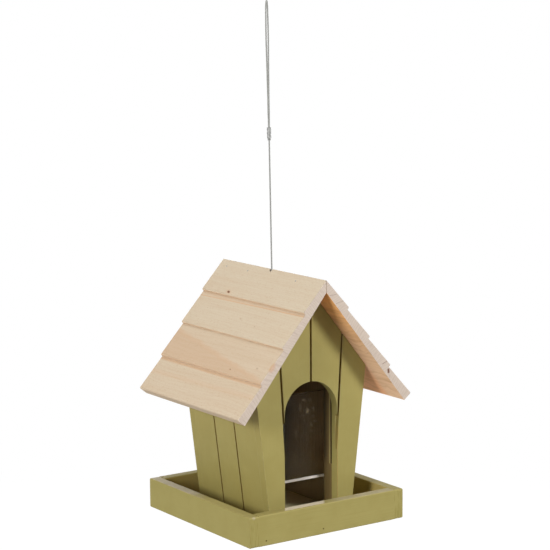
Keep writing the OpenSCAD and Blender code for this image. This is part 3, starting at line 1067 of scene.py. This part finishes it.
def finish_walls():
    for index, (end, name) in enumerate(END_NAMES.items()):
        paint = gable_paint("olive_gable_" + name, end, GABLE_SEED + index)
        seed = GABLE_EDGE_SEED + index
        worn = worn_paint("olive_gable_edge_" + name, Z_AXIS, seed, HOUSE_EDGE_WEAR, sawn=end < 0)
        finish_solid("gable_wall_" + name, PAINT_EDGE, paint, worn)
    for index, (side, name) in enumerate(SIDE_NAMES.items()):
        paint = side_paint("olive_side_" + name, side, SIDE_SEED + index)
        worn = worn_paint("olive_side_edge_" + name, Z_AXIS, SIDE_EDGE_SEED + index, HOUSE_EDGE_WEAR)
        finish_solid("side_wall_" + name, PAINT_EDGE, paint, worn)


def finish_inside():
    """The cleats, the level pieces of bare wood and the panes."""
    upright = cleat_wood("stained_and_shaded_pine", CLEAT_SEED)
    level = inner_pine("inner_pine_level", X_AXIS, LEVEL_SEED)
    for name in solids.keys():
        if name.startswith("cleat_"):
            finish_solid(name, WOOD_EDGE, upright)
        if name.startswith("roof_rib_") or name == "hanger_bar":
            finish_solid(name, WOOD_EDGE, level)
    acrylic = clear_acrylic("clear_acrylic")
    for name in ("pane_front", "pane_back"):
        finish_solid(name, FINE_EDGE, acrylic)


# A brad's head: its radius in millimetres and its sides
BRAD_R = 0.85
BRAD_SIDES = 20
# Where the brads stand, in millimetres: their s and their y on each ridge board, and their x and z on the
# front and the back tray board, with x turned round at the back
ROOF_BRAD_S = -1.5
ROOF_BRAD_Y = [73, 35.8, -43.8]
TRAY_BRADS = [(-69.5, 4.9), (-5.5, 5.4)]
# How far the heads stand proud, in millimetres
ROOF_BRAD_PROUD = 0.18
TRAY_BRAD_PROUD = 0.02
# In metres, how far out of the roof its brads' points are, and how far before a point its ray starts
CLEAR_OF_ROOF = 0.01
DRIVE_FROM = 0.05


def brad_profile(proud):
    """A head from its buried rim to the top of its low dome: share of its radius, and lift."""
    return [(1.0, -0.5), (1.0, proud * 0.35), (0.86, proud * 0.8), (0.5, proud), (0.0, proud)]


def add_heads(name, node, body, inward, points, proud):
    """Low domed heads of small nails, set where a ray through each point meets the board."""
    board = BVHTree.FromObject(node, bpy.context.evaluated_depsgraph_get())
    inward = Vector(inward).normalized()
    *rings, (_, top) = brad_profile(proud)
    vertices = []
    faces = []
    for point in points:
        where, normal, *_ = board.ray_cast(point - inward * DRIVE_FROM, inward)
        across = normal.orthogonal().normalized()
        beside = normal.cross(across)
        first = len(vertices)
        for reach, lift in rings:
            for k in range(BRAD_SIDES):
                a = math.tau * k / BRAD_SIDES
                spoke = across * math.cos(a) + beside * math.sin(a)
                vertices.append(where + spoke * (reach * BRAD_R * MM) + normal * (lift * MM))
        centre = len(vertices)
        vertices.append(where + normal * (top * MM))
        last = first + (len(rings) - 1) * BRAD_SIDES
        for low in range(first, last, BRAD_SIDES):
            faces += band_faces(low, low + BRAD_SIDES, BRAD_SIDES)
        for k in range(BRAD_SIDES):
            faces.append((last + k, last + (k + 1) % BRAD_SIDES, centre))
        faces.append(tuple(first + k for k in reversed(range(BRAD_SIDES))))
    made = add_mesh(name, vertices, faces)
    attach(made, body)
    return made


def add_brads():
    """The roof's bare brads, and the tray's, which are painted over."""
    bare = []
    painted = []
    for side, name in SIDE_NAMES.items():
        down, out = slope_axes(side)
        peak = Vector((0, 0, PEAK_Z))
        points = [
            peak + (down * ROOF_BRAD_S + Vector((0, y, 0))) * MM + out * CLEAR_OF_ROOF for y in ROOF_BRAD_Y
        ]
        board = solids[f"roof_board_{name}_1"]
        group = f"ridge_brads_{name}"
        bare.append(add_heads(group, board, "roof", -out, points, ROOF_BRAD_PROUD))
    for end, name in END_NAMES.items():
        points = [Vector((-end * x, end * TRAY_HALF / MM, z)) * MM for x, z in TRAY_BRADS]
        board = solids["tray_board_" + name]
        drive = (0, -end, 0)
        group = f"tray_brads_{name}"
        painted.append(add_heads(group, board, "house", drive, points, TRAY_BRAD_PROUD))
    return bare, painted


def finish_metal(ropes, nails, painted_nails):
    wire = metal("steel_wire", WIRE_STEEL, rough=0.85, grain=(2, 2, 2))
    ferrule = metal("ferrule_metal", FERRULE_METAL, rough=0.45, grain=(1.2, 1.2, 0.6))
    nail = metal("nail_steel", NAIL_STEEL, rough=0.6, grain=(2, 2, 2))
    head = painted_head("painted_head")
    for pieces, material in ((ropes, wire), (nails, nail), (painted_nails, head)):
        for piece in pieces:
            dress(piece, material)
    for name in ("stop_ferrule", "crimp_ferrule"):
        finish_solid(name, FINE_EDGE, ferrule)


LIGHT_AIM = Vector((0, 0, 0.13))
# Each light's name, its direction, distance, width and height in metres, and its share. At a share of 1
# alone it shows a facing surface at its own colour
LIGHTS = [
    ("key", (0.45, -1, 0.5), 3.0, 0.8, 0.8, 0.778),
    ("left_side", (-1, -0.43, 0.33), 3.0, 0.45, 0.85, 0.264),
    ("left_soft", (-1, -0.25, 0.32), 3.0, 0.6, 0.85, 0.36),
    ("left_fill", (-1, -0.1, 0.05), 3.0, 2.0, 2.0, 0.21),
    ("top", (-0.1, 0.1, 1), 3.0, 1.8, 1.8, 0.468),
    ("under", (0.35, 0.3, -1), 0.36, 0.3, 0.3, 0.5),
    ("back", (0.3, 1, -0.02), 3.0, 1.4, 0.6, 0.36),
    ("right_fill", (1, 0.5, 0), 3.0, 1.4, 0.6, 0.14),
]


def add_light(name, direction, distance, width, height, share):
    data = bpy.data.lights.new(name, "AREA")
    data.shape = "RECTANGLE"
    data.size = width
    data.size_y = height
    data.energy = share * math.pi**2 * distance**2
    lamp = add_object(name, data)
    lamp.location = LIGHT_AIM + Vector(direction).normalized() * distance
    lamp.visible_camera = False
    lamp.rotation_mode = "QUATERNION"
    lamp.rotation_quaternion = look_rotation(lamp.location, LIGHT_AIM)


def directly_seen(nodes):
    """1 for what the camera sees, also in gloss or through glass, and 0 for light on the object."""
    path = nodes.node("LightPath", {}).outputs
    names = ("Is Camera Ray", "Is Glossy Ray", "Is Transmission Ray", "Diffuse Depth")
    camera, gloss, glass, bounces = (Value(nodes, path[name]) for name in names)
    seen = nodes.larger(camera, nodes.larger(gloss, glass))
    return seen * nodes.math("LESS_THAN", bounces, 0.5)


WORLD_LEVEL = 0.02


def add_world():
    """White where the camera, gloss or glass looks past the stage, and a dim even light otherwise."""
    world = bpy.data.worlds.new("studio")
    bpy.context.scene.world = world
    world.use_nodes = True
    nodes = Nodes(world.node_tree)
    sockets = {"Value": directly_seen(nodes), "To Min": WORLD_LEVEL, "To Max": 1.0}
    background = nodes.value("Background", {"Color": WHITE, "Strength": nodes.value("MapRange", sockets)})
    nodes.node("OutputWorld", {"Surface": background})


# The floor's depth below the feeder and half its width, the distances between which it fades to white,
# and how much of its own light the camera sees on it
FLOOR_DROP = 0.36
FLOOR_HALF = 4.0
FLOOR_FADE = (0.7, 1.6)
FLOOR_LIFT = 0.78


def add_floor():
    """A plain pale floor, well below the hanging feeder. It keeps the feeder's soft shadow."""
    corners = [(-1, -1), (1, -1), (1, 1), (-1, 1)]
    points = [(x * FLOOR_HALF, y * FLOOR_HALF, -FLOOR_DROP) for x, y in corners]
    floor = add_mesh("floor", points, [(0, 1, 2, 3)], smooth=False)
    look = Look("floor")
    where = look.value("TexCoord", {}, "Object")
    far = look.step(look.away(where, (0, 0, -FLOOR_DROP)), *FLOOR_FADE)
    seen = directly_seen(look)
    matte = look.value("BsdfDiffuse", {"Color": STAGE_GREY})
    glow = look.value("Emission", {"Color": WHITE, "Strength": seen * FLOOR_LIFT})
    near_look = look.value("AddShader", {0: matte, 1: glow})
    far_look = look.value("Emission", {"Color": WHITE, "Strength": 1.0})
    dress(floor, look.output(look.value("MixShader", {0: seen * far, 1: near_look, 2: far_look})))


add_camera()
ropes = add_cords()
finish_roof()
finish_tray()
finish_walls()
finish_inside()
finish_metal(ropes, *add_brads())
for light in LIGHTS:
    add_light(*light)
add_world()
add_floor()
bpy.context.scene.view_settings.view_transform = "Standard"
